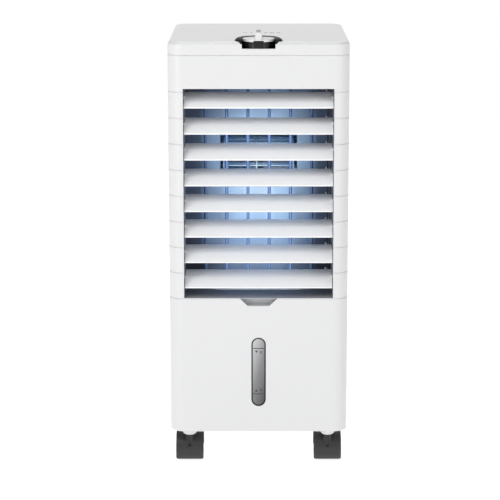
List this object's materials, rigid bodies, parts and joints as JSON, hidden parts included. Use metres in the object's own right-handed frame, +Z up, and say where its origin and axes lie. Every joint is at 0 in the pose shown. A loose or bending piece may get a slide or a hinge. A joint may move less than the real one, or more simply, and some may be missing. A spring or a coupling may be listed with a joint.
{
  "type": "evaporative air cooler",
  "caption": "Slim upright evaporative air cooler with tilting louvres, swinging vanes, a top dial, a level window, a rear tank drawer and swivel casters.",
  "frame": {"origin": "on the ground, under the middle of the casing", "axes": "+Z up, -Y out of the air outlet, +X to the viewer's right when facing the outlet"},
  "size_m": [0.27, 0.31, 0.664],
  "materials": {
    "white_abs": "satin moulded ABS",
    "dark_grey_abs": "matt moulded ABS",
    "navy_abs": "matt moulded ABS",
    "black_gloss": "gloss",
    "black_nylon": "moulded nylon",
    "caster_tread": "satin hard nylon wheel",
    "grey_inlay": "matt",
    "frosted_lens": "frosted clear",
    "natural_plastic": "translucent polypropylene",
    "steel": "zinc plated",
    "motor_can": "galvanised sheet",
    "hose": "silicone tube",
    "pad_paper": "corrugated cellulose honeycomb",
    "filter_mesh": "woven nylon mesh"
  },
  "bodies": {
    "casing": {"top_cover": "white_abs", "front_shell": "white_abs", "lower_front_shell": "white_abs", "side_panel_left": "white_abs", "side_panel_right": "white_abs", "back_panel": "white_abs", "base_pan": "white_abs", "mid_deck": "natural_plastic", "louvre_frame": "dark_grey_abs", "dial_collar": "black_gloss", "rotary_switch": "black_nylon", "window_bezel": "black_gloss", "level_window": "frosted_lens", "duct_plate": "navy_abs", "blower_housing": "navy_abs", "fan_motor": "motor_can", "water_pump": "black_nylon", "water_hose": "hose", "drip_tray": "natural_plastic", "swing_motor": "black_nylon", "rear_screws": "steel", "cord_gland": "black_nylon"},
    "dial": {"dial_skirt": "black_gloss", "dial_crown": "white_abs", "dial_inlay": "grey_inlay"},
    "louvre_1": {"louvre_1": "white_abs"},
    "louvre_2": {"louvre_2": "white_abs"},
    "louvre_3": {"louvre_3": "white_abs"},
    "louvre_4": {"louvre_4": "white_abs"},
    "louvre_5": {"louvre_5": "white_abs"},
    "louvre_6": {"louvre_6": "white_abs"},
    "louvre_7": {"louvre_7": "white_abs"},
    "louvre_8": {"louvre_8": "white_abs"},
    "louvre_link": {"louvre_link": "black_nylon"},
    "vane_1": {"vane_1": "black_nylon"},
    "vane_2": {"vane_2": "black_nylon"},
    "vane_3": {"vane_3": "black_nylon"},
    "vane_4": {"vane_4": "black_nylon"},
    "vane_5": {"vane_5": "black_nylon"},
    "vane_6": {"vane_6": "black_nylon"},
    "vane_link": {"vane_link": "black_nylon"},
    "blower": {"blower_wheel": "black_nylon", "motor_shaft": "steel"},
    "intake": {"rear_grille": "white_abs", "dust_filter": "filter_mesh", "cooling_pad": "pad_paper"},
    "tank": {"water_tank": "natural_plastic", "tank_fascia": "white_abs"},
    "swivel_front_left": {"caster_hood_front_left": "black_nylon", "caster_pins_front_left": "steel"},
    "wheels_front_left": {"caster_wheels_front_left": "caster_tread"},
    "swivel_front_right": {"caster_hood_front_right": "black_nylon", "caster_pins_front_right": "steel"},
    "wheels_front_right": {"caster_wheels_front_right": "caster_tread"},
    "swivel_rear_left": {"caster_hood_rear_left": "black_nylon", "caster_pins_rear_left": "steel"},
    "wheels_rear_left": {"caster_wheels_rear_left": "caster_tread"},
    "swivel_rear_right": {"caster_hood_rear_right": "black_nylon", "caster_pins_rear_right": "steel"},
    "wheels_rear_right": {"caster_wheels_rear_right": "caster_tread"}
  },
  "joints": [
    {"name": "dial_turn", "type": "hinge", "parent": "casing", "child": "dial", "pos_m": [0, -0.1308, 0.65], "axis": [0, 0, 1], "range_deg": [-90, 90]},
    {"name": "louvre_1_tilt", "type": "hinge", "parent": "casing", "child": "louvre_1", "pos_m": [0, -0.1285, 0.56431], "axis": [1, 0, 0], "range_deg": [-25, 12]},
    {"name": "louvre_2_tilt", "type": "hinge", "parent": "casing", "child": "louvre_2", "pos_m": [0, -0.1285, 0.52531], "axis": [1, 0, 0], "range_deg": [-25, 12]},
    {"name": "louvre_3_tilt", "type": "hinge", "parent": "casing", "child": "louvre_3", "pos_m": [0, -0.1285, 0.48631], "axis": [1, 0, 0], "range_deg": [-25, 12]},
    {"name": "louvre_4_tilt", "type": "hinge", "parent": "casing", "child": "louvre_4", "pos_m": [0, -0.1285, 0.44731], "axis": [1, 0, 0], "range_deg": [-25, 12]},
    {"name": "louvre_5_tilt", "type": "hinge", "parent": "casing", "child": "louvre_5", "pos_m": [0, -0.1285, 0.40831], "axis": [1, 0, 0], "range_deg": [-25, 12]},
    {"name": "louvre_6_tilt", "type": "hinge", "parent": "casing", "child": "louvre_6", "pos_m": [0, -0.1285, 0.36931], "axis": [1, 0, 0], "range_deg": [-25, 12]},
    {"name": "louvre_7_tilt", "type": "hinge", "parent": "casing", "child": "louvre_7", "pos_m": [0, -0.1285, 0.33031], "axis": [1, 0, 0], "range_deg": [-25, 12]},
    {"name": "louvre_8_tilt", "type": "hinge", "parent": "casing", "child": "louvre_8", "pos_m": [0, -0.1285, 0.29131], "axis": [1, 0, 0], "range_deg": [-25, 12]},
    {"name": "louvre_link_pivot", "type": "hinge", "parent": "louvre_1", "child": "louvre_link", "pos_m": [0.1046, -0.09923, 0.57088], "axis": [1, 0, 0], "range_deg": [-12, 25]},
    {"name": "vane_1_swing", "type": "hinge", "parent": "casing", "child": "vane_1", "pos_m": [-0.08125, -0.075, 0.4225], "axis": [0, 0, 1], "range_deg": [-35, 35]},
    {"name": "vane_2_swing", "type": "hinge", "parent": "casing", "child": "vane_2", "pos_m": [-0.04875, -0.075, 0.4225], "axis": [0, 0, 1], "range_deg": [-35, 35]},
    {"name": "vane_3_swing", "type": "hinge", "parent": "casing", "child": "vane_3", "pos_m": [-0.01625, -0.075, 0.4225], "axis": [0, 0, 1], "range_deg": [-35, 35]},
    {"name": "vane_4_swing", "type": "hinge", "parent": "casing", "child": "vane_4", "pos_m": [0.01625, -0.075, 0.4225], "axis": [0, 0, 1], "range_deg": [-35, 35]},
    {"name": "vane_5_swing", "type": "hinge", "parent": "casing", "child": "vane_5", "pos_m": [0.04875, -0.075, 0.4225], "axis": [0, 0, 1], "range_deg": [-35, 35]},
    {"name": "vane_6_swing", "type": "hinge", "parent": "casing", "child": "vane_6", "pos_m": [0.08125, -0.075, 0.4225], "axis": [0, 0, 1], "range_deg": [-35, 35]},
    {"name": "vane_link_pivot", "type": "hinge", "parent": "vane_1", "child": "vane_link", "pos_m": [-0.08125, -0.0525, 0.3024], "axis": [0, 0, 1], "range_deg": [-35, 35]},
    {"name": "blower_spin", "type": "hinge", "parent": "casing", "child": "blower", "pos_m": [0, 0.027, 0.427], "axis": [1, 0, 0], "continuous": true},
    {"name": "rear_grille_pull", "type": "slide", "parent": "casing", "child": "intake", "axis": [0, 1, 0], "range_m": [0, 0.12]},
    {"name": "tank_slide", "type": "slide", "parent": "casing", "child": "tank", "axis": [0, 1, 0], "range_m": [0, 0.2]},
    {"name": "caster_front_left_swivel", "type": "hinge", "parent": "casing", "child": "swivel_front_left", "pos_m": [-0.106, -0.128, 0.05], "axis": [0, 0, 1], "continuous": true},
    {"name": "caster_front_left_roll", "type": "hinge", "parent": "swivel_front_left", "child": "wheels_front_left", "pos_m": [-0.106, -0.113, 0.02], "axis": [1, 0, 0], "continuous": true},
    {"name": "caster_front_right_swivel", "type": "hinge", "parent": "casing", "child": "swivel_front_right", "pos_m": [0.106, -0.128, 0.05], "axis": [0, 0, 1], "continuous": true},
    {"name": "caster_front_right_roll", "type": "hinge", "parent": "swivel_front_right", "child": "wheels_front_right", "pos_m": [0.106, -0.113, 0.02], "axis": [1, 0, 0], "continuous": true},
    {"name": "caster_rear_left_swivel", "type": "hinge", "parent": "casing", "child": "swivel_rear_left", "pos_m": [-0.106, 0.098, 0.05], "axis": [0, 0, 1], "continuous": true},
    {"name": "caster_rear_left_roll", "type": "hinge", "parent": "swivel_rear_left", "child": "wheels_rear_left", "pos_m": [-0.106, 0.113, 0.02], "axis": [1, 0, 0], "continuous": true},
    {"name": "caster_rear_right_swivel", "type": "hinge", "parent": "casing", "child": "swivel_rear_right", "pos_m": [0.106, 0.098, 0.05], "axis": [0, 0, 1], "continuous": true},
    {"name": "caster_rear_right_roll", "type": "hinge", "parent": "swivel_rear_right", "child": "wheels_rear_right", "pos_m": [0.106, 0.113, 0.02], "axis": [1, 0, 0], "continuous": true}
  ],
  "couplings": [
    {"joint": "louvre_2_tilt", "follows": "louvre_1_tilt", "ratio": 1},
    {"joint": "louvre_3_tilt", "follows": "louvre_1_tilt", "ratio": 1},
    {"joint": "louvre_4_tilt", "follows": "louvre_1_tilt", "ratio": 1},
    {"joint": "louvre_5_tilt", "follows": "louvre_1_tilt", "ratio": 1},
    {"joint": "louvre_6_tilt", "follows": "louvre_1_tilt", "ratio": 1},
    {"joint": "louvre_7_tilt", "follows": "louvre_1_tilt", "ratio": 1},
    {"joint": "louvre_8_tilt", "follows": "louvre_1_tilt", "ratio": 1},
    {"joint": "louvre_link_pivot", "follows": "louvre_1_tilt", "ratio": -1},
    {"joint": "vane_2_swing", "follows": "vane_1_swing", "ratio": 1},
    {"joint": "vane_3_swing", "follows": "vane_1_swing", "ratio": 1},
    {"joint": "vane_4_swing", "follows": "vane_1_swing", "ratio": 1},
    {"joint": "vane_5_swing", "follows": "vane_1_swing", "ratio": 1},
    {"joint": "vane_6_swing", "follows": "vane_1_swing", "ratio": 1},
    {"joint": "vane_link_pivot", "follows": "vane_1_swing", "ratio": -1}
  ]
}
